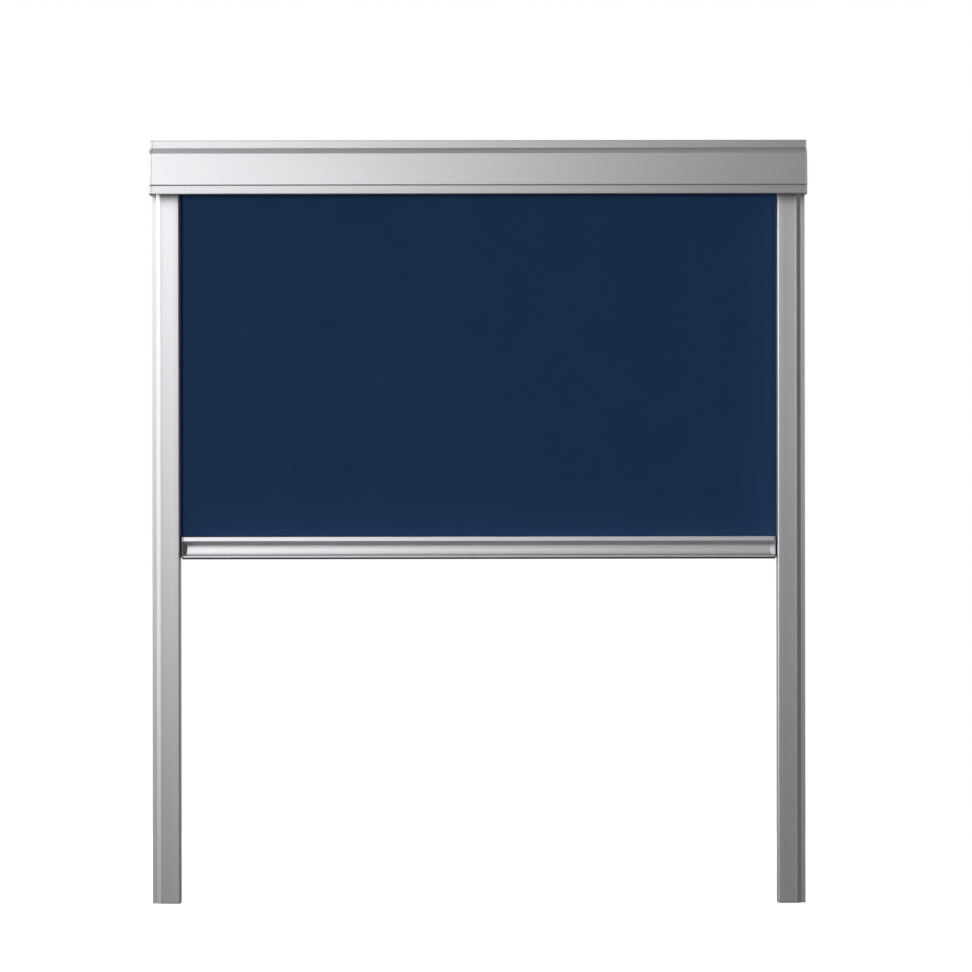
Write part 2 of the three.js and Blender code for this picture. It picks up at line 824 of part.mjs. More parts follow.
function barProfile() {
  const slitHalf = hemSlit / 2;
  const slitAngle = Math.asin(slitHalf / splineGrooveRadius);
  const groove = arc(
    clothY,
    splineZ,
    splineGrooveRadius,
    Math.PI / 2 + slitAngle,
    (5 * Math.PI) / 2 - slitAngle,
    roundSides / 2,
  );
  const outline = [
    ...rounded([
      [clothY - slitHalf, barTopZ],
      [barLipHeadY, barTopZ, barEdgeRadius],
      [barFrontY, undercutHeadZ, barEdgeRadius / 2],
      [scoopLine(0, scoopHeadZ, scoopFootZ)[0].x, scoopHeadZ],
    ], false).slice(0, -1),
    ...scoopLine(0, scoopHeadZ, scoopFootZ),
    ...rounded([
      [scoopBackY, scoopFootZ],
      [lowerLipY, lowerLipHeadZ, barEdgeRadius],
      [lowerLipY, barFootZ, barEdgeRadius],
      [sealGrooveY[0], barFootZ],
      [sealGrooveY[0], sealGrooveZ],
      [sealGrooveY[1], sealGrooveZ],
      [sealGrooveY[1], barFootZ],
      [barRearY, barFootZ, barEdgeRadius],
      [barRearY, barTopZ, barEdgeRadius],
      [clothY + slitHalf, barTopZ],
    ], false).slice(1),
    ...groove.reverse(),
  ];
  const hollowHeadZ = scoopHeadZ + barWall / 2;
  const hollowFootZ = scoopFootZ - barWall / 2;
  const splineWallY = clothY - splineGrooveRadius - barWall;
  const splineWallZ = splineZ - splineGrooveRadius - barWall;
  const hollow = [
    ...rounded([
      [barLipHeadY + barWall, barTopZ - barWall],
      [splineWallY, barTopZ - barWall],
      [splineWallY, splineWallZ],
      [barRearY - barWall, splineWallZ],
      [barRearY - barWall, barFootZ + barWall],
      [scoopBackY + barWall, barFootZ + barWall],
    ]),
    ...scoopLine(barWall, hollowHeadZ, hollowFootZ).reverse(),
    new THREE.Vector2(barFrontY + barWall, undercutHeadZ + barWall / 2),
  ];
  return alongX(outline, -barProfileHalf, barProfileHalf, [hollow]);
}

// The space in front of the scoop, shrunk by a gap, at one end of the bar
function scoopFilling(fromX, toX) {
  const headZ = scoopHeadZ - seamGap;
  const footZ = scoopFootZ + seamGap;
  return alongX([
    new THREE.Vector2(barFrontY, undercutHeadZ - seamGap),
    ...scoopLine(-seamGap, headZ, footZ),
    new THREE.Vector2(lowerLipY, lowerLipHeadZ + seamGap),
    new THREE.Vector2(barFrontY, lowerLipHeadZ + seamGap),
  ], fromX, toX);
}

function barEndCap() {
  const plateInnerX = barEndX + barEndPlate;
  const wedgeEndX = barEndX + barEndFlat + scoopEndRun;
  const wedge = alongZ(rounded([
    [barEndX, barFrontY],
    [barEndX + barEndFlat, barFrontY],
    [wedgeEndX, scoopBackY],
    [barEndX, scoopBackY],
  ]), barFootZ, barTopZ);
  const plate = alongX(rounded([
    [lowerLipY, barFootZ, barEdgeRadius],
    [barRearY, barFootZ, barEdgeRadius],
    [barRearY, barTopZ, barEdgeRadius],
    [barLipHeadY, barTopZ, barEdgeRadius],
    [barFrontY, undercutHeadZ],
  ]), barEndX, plateInnerX);
  const opening = cut(scoopFilling(barEndX + barEndFlat, plateInnerX + cutOverrun), wedge);
  const plugY = [scoopBackY + barWall + fitGap, clothY - splineGrooveRadius - barWall - fitGap];
  const plugZ = [barFootZ + barWall + fitGap, barTopZ - barWall - fitGap];
  const tongueY = [pocketY[0] + fitGap, pocketY[1] - fitGap];
  const tongueZ = [padMiddleZ - barTongueHeight / 2, padMiddleZ + barTongueHeight / 2];
  const cap = joined(
    cut(plate, opening),
    common(wedge, scoopFilling(plateInnerX - cutOverrun, wedgeEndX)),
    block([plateInnerX - cutOverrun, plateInnerX + barPlugLength], plugY, plugZ),
    block([barEndX - barTongueLength, barEndX + cutOverrun], tongueY, tongueZ),
  );
  const clothSlit = block(
    [barEndX - cutOverrun, plateInnerX + cutOverrun],
    [clothY - hemSlit / 2, clothY + hemSlit / 2],
    [clothFootZ - fitGap, barTopZ + cutOverrun],
  );
  const sealNotch = block(
    [barEndX - cutOverrun, plateInnerX + cutOverrun],
    sealGrooveY,
    [barFootZ - cutOverrun, sealGrooveZ],
  );
  return cut(cap, joined(clothSlit, sealNotch));
}

function hemSpline() {
  return cylinderX(clothY, splineZ, splineRadius, -barProfileHalf, barProfileHalf, smallSides);
}

function bottomSeal() {
  const y = sealGrooveY[0] + fitGap;
  const outline = rounded([
    [y, sealFootZ + sealHeight],
    [y, sealFootZ, sealThickness / 3],
    [y + sealThickness, sealFootZ, sealThickness / 3],
    [y + sealThickness, sealFootZ + sealHeight],
  ]);
  return alongX(outline, barEndX, -barEndX);
}

// Slider and brake, inside the guide channel

function sliderShoe() {
  const lugX = channelOuterX + runningGap;
  const outline = rounded([
    [shoeInnerX, shoeFootZ, padChamfer],
    [shoeInnerX, shoeTopZ, padChamfer],
    [lugX, shoeTopZ, padChamfer],
    [lugX, shoeTopZ - shoeLug],
    [shoeOuterX, shoeTopZ - shoeLug],
    [shoeOuterX, shoeFootZ + shoeLug],
    [lugX, shoeFootZ + shoeLug],
    [lugX, shoeFootZ, padChamfer],
  ]);
  const pocketHalf = barTongueHeight / 2 + fitGap;
  const neckEndX = barEndX - fitGap;
  const pocketX = [barEndX - barTongueLength - fitGap, neckEndX + cutOverrun];
  return cut(
    joined(
      alongY(outline, ...shoeY),
      block([shoeInnerX - cutOverrun, neckEndX], [neckFrontY, shoeY[1]], [barFootZ, barTopZ]),
    ),
    block(pocketX, pocketY, [padMiddleZ - pocketHalf, padMiddleZ + pocketHalf]),
  );
}

function brakeSpring() {
  const seatX = shoeOuterX - fitGap - brakeSpringWall / 2;
  const line = [];
  for (let step = 0; step <= bowSteps; step += 1) {
    const share = (2 * step) / bowSteps - 1;
    const x = seatX - brakeBow * (1 - share ** 2);
    line.push(new THREE.Vector2(x, padMiddleZ + padHalf * share));
  }
  const half = brakeSpringWall / 2;
  const outline = [...shifted(line, half), ...shifted(line, -half).reverse()];
  return alongY(outline, shoeY[0] + fitGap, shoeY[1] - fitGap);
}

function brakePad() {
  const innerX = channelOuterX + fitGap + padThickness;
  const outline = rounded([
    [innerX, padMiddleZ - padHalf],
    [innerX, padMiddleZ + padHalf],
    [channelOuterX + fitGap, padMiddleZ + padHalf, padChamfer],
    [channelOuterX + fitGap, padMiddleZ - padHalf, padChamfer],
  ]);
  return alongY(outline, shoeY[0] + fitGap, shoeY[1] - fitGap);
}

// Assembly

const blind = new THREE.Group();

function place(name, geometry, finishName) {
  const mesh = new THREE.Mesh(geometry, finish(finishName));
  mesh.name = name;
  blind.add(mesh);
}

// A piece drawn for the left side, and its mirror image on the right
function placePair(name, geometry, finishName) {
  place(`left_${name}`, geometry, finishName);
  place(`right_${name}`, mirrored(geometry), finishName);
}

place('cassette_back_profile', cassetteBackProfile(), 'aluminium');
place('cassette_front_cover', cassetteFrontCover(), 'aluminium');
placePair('cassette_end_cap', cassetteEndCap(), 'plastic');
placePair('rear_end_screw', endCapScrew(portPlaces[0]), 'steel');
placePair('front_end_screw', endCapScrew(portPlaces[1]), 'steel');

placePair('side_rail', sideRail(), 'aluminium');
placePair('rail_foot_cap', railFootCap(), 'plastic');

place('roller_tube', rollerTube(), 'aluminium');
place('cloth_key', clothKey(), 'plastic');
placePair('tube_plug', tubePlug(), 'darkPlastic');
place('cloth_roll', clothRoll(), 'cloth');
place('torsion_spring', torsionSpring(), 'steel');
place('spring_shaft', springShaft(), 'steel');
place('spring_anchor', springAnchor(), 'darkPlastic');
place('idle_pin', idlePin(), 'steel');

place('pull_bar_profile', barProfile(), 'aluminium');
placePair('bar_end_cap', barEndCap(), 'plastic');
placePair('slider_shoe', sliderShoe(), 'darkPlastic');
placePair('brake_spring', brakeSpring(), 'steel');
placePair('brake_pad', brakePad(), 'felt');
place('hem_spline', hemSpline(), 'darkPlastic');
place('bottom_seal', bottomSeal(), 'rubber');
place('cloth_drop', clothDrop(), 'cloth');

export default blind;
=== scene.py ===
# Roof-window blackout blind: finishes, cloth, studio and camera around its solids.
# Metres, +Z up, the room side facing -Y.

import json
import math

import bpy
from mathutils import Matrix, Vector

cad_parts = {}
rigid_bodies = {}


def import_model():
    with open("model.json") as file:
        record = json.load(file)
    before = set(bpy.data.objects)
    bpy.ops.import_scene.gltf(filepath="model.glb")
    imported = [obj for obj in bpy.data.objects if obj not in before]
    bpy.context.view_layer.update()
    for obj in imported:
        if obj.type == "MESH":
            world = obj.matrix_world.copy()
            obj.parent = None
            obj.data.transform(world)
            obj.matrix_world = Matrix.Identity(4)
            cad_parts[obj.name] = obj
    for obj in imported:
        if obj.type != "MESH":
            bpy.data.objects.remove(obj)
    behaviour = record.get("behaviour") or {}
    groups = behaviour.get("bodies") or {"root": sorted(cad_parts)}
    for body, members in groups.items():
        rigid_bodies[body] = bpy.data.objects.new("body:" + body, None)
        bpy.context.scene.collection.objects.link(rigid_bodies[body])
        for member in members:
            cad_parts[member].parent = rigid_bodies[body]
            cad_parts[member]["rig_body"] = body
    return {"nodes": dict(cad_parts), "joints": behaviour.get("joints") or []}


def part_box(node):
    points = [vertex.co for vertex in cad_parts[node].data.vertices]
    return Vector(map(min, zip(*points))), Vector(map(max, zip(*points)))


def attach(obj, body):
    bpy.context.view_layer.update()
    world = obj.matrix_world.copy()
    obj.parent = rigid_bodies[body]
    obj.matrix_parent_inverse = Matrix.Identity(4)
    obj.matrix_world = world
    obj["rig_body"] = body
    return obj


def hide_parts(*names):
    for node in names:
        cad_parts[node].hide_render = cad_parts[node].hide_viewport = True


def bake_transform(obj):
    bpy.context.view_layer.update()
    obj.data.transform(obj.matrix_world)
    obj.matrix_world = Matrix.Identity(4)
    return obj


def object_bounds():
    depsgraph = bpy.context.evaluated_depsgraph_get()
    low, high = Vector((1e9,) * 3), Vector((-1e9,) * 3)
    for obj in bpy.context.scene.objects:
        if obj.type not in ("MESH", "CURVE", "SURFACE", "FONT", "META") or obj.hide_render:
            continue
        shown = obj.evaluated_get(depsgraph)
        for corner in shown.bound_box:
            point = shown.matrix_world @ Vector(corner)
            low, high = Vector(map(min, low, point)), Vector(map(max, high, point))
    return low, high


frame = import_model()
cad_low, cad_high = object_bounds()

MM = 0.001

# Camera of the photograph: a long lens, level, square to the blind
IMAGE_WIDTH_PX = 972
FOCAL_PX = 3090.6
SENSOR_WIDTH = 36.0
CAMERA_PLACE = (0.0069, -2.926, -0.2975)
CAMERA_ROLL_DEG = 0.09

# Studio, with lights as (place, width, height, watts). All of them face the middle of the blind. The metal's
# lights show only in reflections, and the cloth's light only what is matt.
MIDDLE = Vector((0.0, 0.0, -0.3))
METAL_LIGHTS = {
    "key_light": ((-1.264, -4.149, 0.898), 2.33, 2.62, 33.1),
    "side_light": ((-2.454, -1.574, 0.408), 1.5, 2.6, 12.0),
    "wide_light": ((-2.6, -2.2, 0.9), 2.6, 2.8, 38.8),
    "upper_light": ((-1.695, -0.299, 2.157), 2.2, 2.2, 28.6),
    "left_panel": ((-3.0, -0.1, 0.5), 2.6, 2.6, 18.8),
    "ceiling_panel": ((0.6, 0.5, 2.7), 2.5, 2.5, 3.3),
    "back_left_panel": ((-2.3, 2.4, 0.4), 2.4, 2.6, 8.0),
    "back_right_panel": ((2.3, 2.4, 0.4), 2.4, 2.6, 8.0),
    "back_panel": ((0.0, 3.6, 0.0), 1.8, 2.2, 2.5),
}
CLOTH_LIGHTS = {
    "front_fill": ((-0.4, -3.2, -0.2), 0.5, 0.5, 36.8),
    "rear_fill": ((0.4, 3.2, 0.6), 1.2, 1.2, 38.0),
}
ROOM_GREY = 0.137
BACKDROP_RADIUS = 9.0
BACKDROP_SEGMENTS = 48
BACKDROP_RINGS = 24
FLOOR_RADIUS = 1.6
FLOOR_SIDES = 96
FLOOR_DROP = 0.11
FLOOR_GLOW = 0.9
FLOOR_GREY = 0.75
BLACK = (0.0, 0.0, 0.0, 1.0)
WHITE = (1.0, 1.0, 1.0, 1.0)

# Edges and shading of the hard pieces
WELD_REACH = 0.002 * MM
EDGE_ROUND = 0.06 * MM
EDGE_SEGMENTS = 2
EDGE_ANGLE = math.radians(25)
SMOOTH_ANGLE = math.radians(42)
ROUND_SMOOTH_ANGLE = math.radians(80)
FACE_AREA_WEIGHT = 100

# Silver of the metal and the paint: its tones, how far they drift over the surface, and its violet cast
EXTRUSION_TONE = 0.8
BAR_TONE = 0.88
CAP_TONE = 0.795
# The pull bar's end caps: the same silver paint, painted darker as painted shade in the bar's recess
SHADED_BAR_CAP_TONE = 0.47
CLOUDING = 0.01
VIOLET_CAST = (0.006, -0.005, 0.021)

# Brushed extrusions: the axis that they run along, and the lines and clouds drawn out along it
ACROSS = 0
DOWN = 2
EXTRUSION_ROUGHNESS = 0.387
EXTRUSION_BRUSHING = 0.3
BAR_ROUGHNESS = 0.41
BAR_BRUSHING = 0.05
LINE_WIDTH = 0.35 * MM
LINE_LENGTH = 160 * MM
LINE_DEPTH = 0.002 * MM
LINE_ROUGHENING = 0.012
CLOUD_WIDTH = 45 * MM
CLOUD_LENGTH = 260 * MM

# Undercut below the pull bar's front lip: painted shade, a darker and rougher band where the lip shades the
# recess
LIP_HEIGHT = 4 * MM
UNDERCUT_HEIGHT = 3.9 * MM
UNDERCUT_SHADE_TONE = 0.74
PAINTED_SHADE_ROUGHENING = 0.28
SHADE_FADE_ABOVE = 0.3 * MM
SHADE_FADE_BELOW = 1.6 * MM

# Cloth
CLOTH_ROWS = 72
CLOTH_COLUMNS = 48
WRAP_STEPS = 14
WRAP_SINK_SHARE = 0.25
WOUND_STEPS_PER_TURN = 72
WOUND_GAP = 0.05 * MM
CORE_GAP = 0.3 * MM
WEAVE_PITCH = 0.55 * MM
NAVY = (0.031, 0.082, 0.197)

# Torsion spring
SPRING_TURNS = 34
SPRING_STEPS_PER_TURN = 28
WIRE_RADIUS = 0.7 * MM
WIRE_LEAD = 2 * WIRE_RADIUS
WIRE_BEVEL_STEPS = 2


# Building blocks for the materials

class Finish:
    """A material under construction, with short ways to add its nodes."""

    def __init__(self, name):
        self.material = bpy.data.materials.new(name)
        self.material.use_nodes = True
        self.tree = self.material.node_tree
        self.shader = self.tree.nodes["Principled BSDF"]

    def set(self, **values):
        for name, value in values.items():
            self.shader.inputs[name.replace("_", " ")].default_value = value

    def node(self, kind, values=None, **settings):
        made = self.tree.nodes.new(kind)
        for name, value in settings.items():
            setattr(made, name, value)
        for name, value in (values or {}).items():
            made.inputs[name].default_value = value
        return made

    def link(self, source, target):
        self.tree.links.new(source, target)

    def place(self, sizes):
        """Surface coordinates in which a grain of the given sizes along X, Y and Z measures one."""
        coordinates = self.node("ShaderNodeTexCoord")
        mapping = self.node("ShaderNodeMapping", {"Scale": [1 / size for size in sizes]})
        self.link(coordinates.outputs["Object"], mapping.inputs["Vector"])
        return mapping.outputs["Vector"]

    def noise(self, sizes, detail=2.0, roughness=0.5):
        values = {"Scale": 1.0, "Detail": detail, "Roughness": roughness}
        texture = self.node("ShaderNodeTexNoise", values)
        self.link(self.place(sizes), texture.inputs["Vector"])
        return texture.outputs["Fac"]

    def ranged(self, value, low, high, from_low=0.3, from_high=0.7):
        spread = {"From Min": from_low, "From Max": from_high, "To Min": low, "To Max": high}
        mapped = self.node("ShaderNodeMapRange", spread)
        self.link(value, mapped.inputs["Value"])
        return mapped.outputs["Result"]

    def combined(self, operation, first, second):
        made = self.node("ShaderNodeMath", operation=operation)
        for socket, value in zip(made.inputs, (first, second)):
            if isinstance(value, (int, float)):
                socket.default_value = value
            else:
                self.link(value, socket)
        return made.outputs["Value"]

    def colour(self, value, dark, light, low=0.3, high=0.7):
        ramp = self.node("ShaderNodeValToRGB")
        first, last = ramp.color_ramp.elements
        first.position, first.color = low, (*dark, 1.0)
        last.position, last.color = high, (*light, 1.0)
        self.link(value, ramp.inputs["Fac"])
        self.link(ramp.outputs["Color"], self.shader.inputs["Base Color"])

    def roughness(self, value, low, high):
        self.link(self.ranged(value, low, high), self.shader.inputs["Roughness"])

    def height_band(self, low, high, fade_below, fade_above):
        """One between two heights of the piece, fading to zero below and above them."""
        coordinates = self.node("ShaderNodeTexCoord")
        parts = self.node("ShaderNodeSeparateXYZ")
        self.link(coordinates.outputs["Object"], parts.inputs["Vector"])
        rising = self.ranged(parts.outputs["Z"], 0.0, 1.0, low - fade_below, low)
        falling = self.ranged(parts.outputs["Z"], 1.0, 0.0, high, high + fade_above)
        return self.combined("MULTIPLY", rising, falling)

    def painted_shade(self, cover, colour, roughening):
        """Painted shade where the cover is one: a darker colour, and a rougher surface."""
        base = self.shader.inputs["Base Color"]
        mixed = self.node("ShaderNodeMixRGB", {"Color2": (*colour, 1.0)})
        self.link(cover, mixed.inputs["Fac"])
        self.link(base.links[0].from_socket, mixed.inputs["Color1"])
        self.link(mixed.outputs["Color"], base)
        roughness = self.shader.inputs["Roughness"]
        extra = self.combined("MULTIPLY", cover, roughening)
        self.link(self.combined("ADD", roughness.links[0].from_socket, extra), roughness)

    def relief(self, height, depth, strength):
        bump = self.node("ShaderNodeBump", {"Strength": strength, "Distance": depth})
        self.link(height, bump.inputs["Height"])
        self.link(bump.outputs["Normal"], self.shader.inputs["Normal"])


def silver_tint(tone):
    """Silver grey with the slight violet cast of the anodising and the paint."""
    return tuple(tone + shift for shift in VIOLET_CAST)


def drawn_out(width, length, along):
    """Grain sizes along X, Y and Z, for a grain that is drawn out along one of them."""
    sizes = [width] * 3
    sizes[along] = length
    return sizes


def satin_aluminium(name, along, tone, roughness, brushing, shaded_band=None):
    """Anodised extrusion, brushed by fine die lines along one axis, so rougher across them."""
    finish = Finish(name)
    finish.set(Metallic=1.0, IOR=1.5, Anisotropic=brushing)
    around = finish.node("ShaderNodeTangent", direction_type="RADIAL", axis="XYZ"[along])
    finish.link(around.outputs["Tangent"], finish.shader.inputs["Tangent"])
    lines = finish.noise(drawn_out(LINE_WIDTH, LINE_LENGTH, along), detail=3.0, roughness=0.6)
    clouds = finish.noise(drawn_out(CLOUD_WIDTH, CLOUD_LENGTH, along), detail=1.0)
    finish.colour(clouds, dark=silver_tint(tone - CLOUDING), light=silver_tint(tone + CLOUDING))
    finish.roughness(lines, low=roughness - LINE_ROUGHENING, high=roughness + LINE_ROUGHENING)
    finish.relief(lines, depth=LINE_DEPTH, strength=0.5)
    # Painted shade: a darker, rougher band between two heights, where one is given
    if shaded_band:
        finish.painted_shade(finish.height_band(*shaded_band), silver_tint(UNDERCUT_SHADE_TONE), PAINTED_SHADE_ROUGHENING)
    return finish.material


def bar_aluminium():
    """The pull bar's finish, with painted shade in its undercut."""
    lip_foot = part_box("pull_bar_profile")[1].z - LIP_HEIGHT
    undercut = (lip_foot - UNDERCUT_HEIGHT, lip_foot, SHADE_FADE_BELOW, SHADE_FADE_ABOVE)
    return satin_aluminium("bar_aluminium", ACROSS, BAR_TONE, BAR_ROUGHNESS, BAR_BRUSHING, undercut)


def silver_plastic(name, tone):
    """Moulded caps in silver paint, with the fine grain of an eroded mould."""
    finish = Finish(name)
    finish.set(Metallic=1.0, IOR=1.45)
    grain = finish.noise([0.4 * MM] * 3, detail=3.0)
    clouds = finish.noise([14 * MM] * 3, detail=1.0)
    finish.colour(clouds, dark=silver_tint(tone - CLOUDING), light=silver_tint(tone + CLOUDING))
    finish.roughness(grain, low=0.37, high=0.41)
    finish.relief(grain, depth=0.006 * MM, strength=0.5)
    return finish.material


def dark_plastic():
    finish = Finish("dark_nylon")
    finish.set(Metallic=0.0, IOR=1.5)
    grain = finish.noise([0.5 * MM] * 3, detail=3.0)
    clouds = finish.noise([9 * MM] * 3)
    finish.colour(clouds, dark=(0.032, 0.033, 0.036), light=(0.048, 0.049, 0.052))
    finish.roughness(grain, low=0.42, high=0.58)
    finish.relief(grain, depth=0.02 * MM, strength=0.6)
    return finish.material


def drawn_steel():
    finish = Finish("zinc_steel")
    finish.set(Metallic=1.0)
    grain = finish.noise([2.5 * MM, 0.3 * MM, 0.3 * MM], detail=3.0)
    clouds = finish.noise([6 * MM] * 3)
    finish.colour(clouds, dark=(0.53, 0.54, 0.56), light=(0.66, 0.66, 0.67))
    finish.roughness(grain, low=0.22, high=0.38)
    finish.relief(grain, depth=0.01 * MM, strength=0.5)
    return finish.material


def black_rubber():
    finish = Finish("seal_rubber")
    finish.set(IOR=1.5)
    grain = finish.noise([0.6 * MM] * 3, detail=2.0)
    clouds = finish.noise([30 * MM, 3 * MM, 3 * MM])
    finish.colour(clouds, dark=(0.014, 0.014, 0.015), light=(0.026, 0.026, 0.027))
    finish.roughness(grain, low=0.62, high=0.8)
    finish.relief(grain, depth=0.02 * MM, strength=0.6)
    return finish.material


def brake_felt():
    finish = Finish("brake_felt")
    finish.set(Sheen_Weight=0.35, Sheen_Roughness=0.6)
    fibres = finish.noise([0.25 * MM, 0.25 * MM, 1.2 * MM], detail=5.0, roughness=0.7)
    finish.colour(fibres, dark=(0.065, 0.068, 0.074), light=(0.135, 0.138, 0.145))
    finish.roughness(fibres, low=0.9, high=1.0)
    finish.relief(fibres, depth=0.15 * MM, strength=0.8)
    return finish.material


def blackout_cloth():
    """Close plain weave: threads across and down, with slubs and a little unevenness in the dye."""
    finish = Finish("blackout_cloth")
    finish.set(Metallic=0.0, IOR=1.45, Specular_IOR_Level=0.05)
    place = finish.place([WEAVE_PITCH] * 3)
    heights = []
    for axis in ("X", "Z"):
        threads = finish.node(
            "ShaderNodeTexWave",
            {"Scale": 1 / (2 * math.pi), "Distortion": 0.6, "Detail": 1.0, "Detail Scale": 1.5},
            wave_type="BANDS",
            bands_direction=axis,
        )
        finish.link(place, threads.inputs["Vector"])
        heights.append(threads.outputs["Fac"])
    weave = finish.combined("MULTIPLY", *heights)
    slubs = finish.noise([9 * MM, 2 * MM, 0.8 * MM], detail=3.0, roughness=0.6)
    dye = finish.noise([60 * MM] * 3, detail=2.0)
    slub_shade = finish.ranged(slubs, low=0.92, high=1.04)
    dye_shade = finish.ranged(dye, low=0.97, high=1.03)
    unevenness = finish.combined("MULTIPLY", slub_shade, dye_shade)
    weave_shade = finish.ranged(weave, low=0.86, high=1.0, from_low=0.0, from_high=1.0)
    shade = finish.combined("MULTIPLY", unevenness, weave_shade)
    finish.colour(shade, dark=(0.0, 0.0, 0.0), light=NAVY, low=0.0, high=1.1)
    finish.roughness(slubs, low=0.82, high=0.92)
    finish.relief(weave, depth=0.05 * MM, strength=0.5)
    return finish.material


# Hard pieces keep their solids, with welded corners, fine rounded edges and even shading

def smooth_shading(name, angle):
    """A modifier's node group that shades smooth, apart from edges sharper than the angle."""
    group = bpy.data.node_groups.new(name, "GeometryNodeTree")
    for direction in ("INPUT", "OUTPUT"):
        group.interface.new_socket("Geometry", in_out=direction, socket_type="NodeSocketGeometry")
    group.is_modifier = True
    start = group.nodes.new("NodeGroupInput")
    end = group.nodes.new("NodeGroupOutput")
    faces = group.nodes.new("GeometryNodeSetShadeSmooth")
    faces.domain = "FACE"
    edges = group.nodes.new("GeometryNodeSetShadeSmooth")
    edges.domain = "EDGE"
    edges.inputs["Shade Smooth"].default_value = False
    corner = group.nodes.new("GeometryNodeInputMeshEdgeAngle")
    sharper = group.nodes.new("FunctionNodeCompare")
    sharper.data_type = "FLOAT"
    sharper.operation = "GREATER_THAN"
    sharper.inputs["B"].default_value = angle
    group.links.new(corner.outputs["Unsigned Angle"], sharper.inputs["A"])
    group.links.new(sharper.outputs["Result"], edges.inputs["Selection"])
    group.links.new(start.outputs[0], faces.inputs["Geometry"])
    group.links.new(faces.outputs["Geometry"], edges.inputs["Geometry"])
    group.links.new(edges.outputs["Geometry"], end.inputs[0])
    return group


EVEN_SHADING = smooth_shading("even_shading", SMOOTH_ANGLE)
ROUND_SHADING = smooth_shading("round_shading", ROUND_SMOOTH_ANGLE)


def finish_edges(piece, edge_round):
    """Weld the corners, round the edges if asked, and shade the faces evenly."""
    weld = piece.modifiers.new("weld", "WELD")
    weld.merge_threshold = WELD_REACH
    if edge_round:
        bevel = piece.modifiers.new("edge_round", "BEVEL")
        bevel.width = edge_round
        bevel.segments = EDGE_SEGMENTS
        bevel.limit_method = "ANGLE"
        bevel.angle_limit = EDGE_ANGLE
        bevel.use_clamp_overlap = False
    shading = piece.modifiers.new("shading", "NODES")
    shading.node_group = EVEN_SHADING if edge_round else ROUND_SHADING
    weighted = piece.modifiers.new("even_normals", "WEIGHTED_NORMAL")
    weighted.keep_sharp = True
    weighted.weight = FACE_AREA_WEIGHT


def dress(names, material, edge_round=EDGE_ROUND):
    """Give the named solids their material, with rounded edges unless edge_round is zero."""
    for name in names:
        piece = frame["nodes"][name]
        piece.data.materials.clear()
        piece.data.materials.append(material)
        finish_edges(piece, edge_round)


def pair(name):
    return [f"left_{name}", f"right_{name}"]


# Meshes made here

def mesh_object(name, points, faces, material):
    mesh = bpy.data.meshes.new(name)
    mesh.from_pydata(points, [], faces)
    mesh.validate()
    mesh.polygons.foreach_set("use_smooth", [True] * len(mesh.polygons))
    made = bpy.data.objects.new(name, mesh)
    bpy.context.scene.collection.objects.link(made)
    made.data.materials.append(material)
    return made


def ribbon(name, line, half_width, thickness, columns, material):
    """A closed sheet whose middle line is a list of (y, z) points, drawn out along X."""
    sides = []
    for index, (y, z) in enumerate(line):
        before = line[max(index - 1, 0)]
        after = line[min(index + 1, len(line) - 1)]
        along = Vector((after[0] - before[0], after[1] - before[1])).normalized()
        offset = Vector((-along.y, along.x)) * thickness / 2
        sides.append(((y + offset.x, z + offset.y), (y - offset.x, z - offset.y)))
    loop = [side[0] for side in sides] + [side[1] for side in reversed(sides)]
    points = []
    for column in range(columns + 1):
        x = half_width * (2 * column / columns - 1)
        points += [(x, y, z) for y, z in loop]
    count = len(loop)
    faces = []
    for column in range(columns):
        near, far = column * count, (column + 1) * count
        for index in range(count):
            following = (index + 1) % count
            faces.append((near + index, near + following, far + following, far + index))
    steps = len(line)
    for start in (0, columns * count):
        for index in range(steps - 1):
            opposite = count - 1 - index
            quad = (start + index, start + index + 1, start + opposite - 1, start + opposite)
            faces.append(quad if start else tuple(reversed(quad)))
    return mesh_object(name, points, faces, material)


# Cloth: one sheet from the roll to the pull bar, and the turns that stay wound

drop_low, drop_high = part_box("cloth_drop")
roll_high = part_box("cloth_roll")[1]
tube_low, tube_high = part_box("roller_tube")
roller_joint = next(joint for joint in frame["joints"] if joint["name"] == "roller_turn")
axis_y, axis_z = roller_joint["pos_m"][1:]
cloth_y = (drop_low.y + drop_high.y) / 2
cloth_thickness = drop_high.y - drop_low.y
cloth_half = drop_high.x
leaving_radius = cloth_y - axis_y
tube_radius = (tube_high.y - tube_low.y) / 2
wound_outer = roll_high.y - axis_y
wound_inner = tube_radius + CORE_GAP


def hanging_cloth(material):
    drop = axis_z - drop_low.z
    line = [(cloth_y, drop_low.z + drop * step / CLOTH_ROWS) for step in range(CLOTH_ROWS)]
    for step in range(WRAP_STEPS + 1):
        share = step / WRAP_STEPS
        angle = share * math.pi / 2
        radius = leaving_radius - cloth_thickness * WRAP_SINK_SHARE * share
        line.append((axis_y + radius * math.cos(angle), axis_z + radius * math.sin(angle)))
    cloth = ribbon("hanging_cloth", line, cloth_half, cloth_thickness, CLOTH_COLUMNS, material)
    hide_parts("cloth_drop")
    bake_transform(cloth)


def wound_cloth(material):
    thickness = cloth_thickness - WOUND_GAP
    outer = wound_outer - cloth_thickness / 2
    turns = (outer - thickness / 2 - wound_inner) / cloth_thickness
    steps = round(turns * WOUND_STEPS_PER_TURN)
    line = []
    for step in range(steps + 1):
        turn = turns * step / steps
        radius = outer - cloth_thickness * turn
        angle = 2 * math.pi * turn
        line.append((axis_y + radius * math.cos(angle), axis_z + radius * math.sin(angle)))
    cloth = ribbon("wound_cloth", line, cloth_half, thickness, 1, material)
    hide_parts("cloth_roll")
    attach(cloth, "roller")


# Torsion spring, wound finely round the shaft

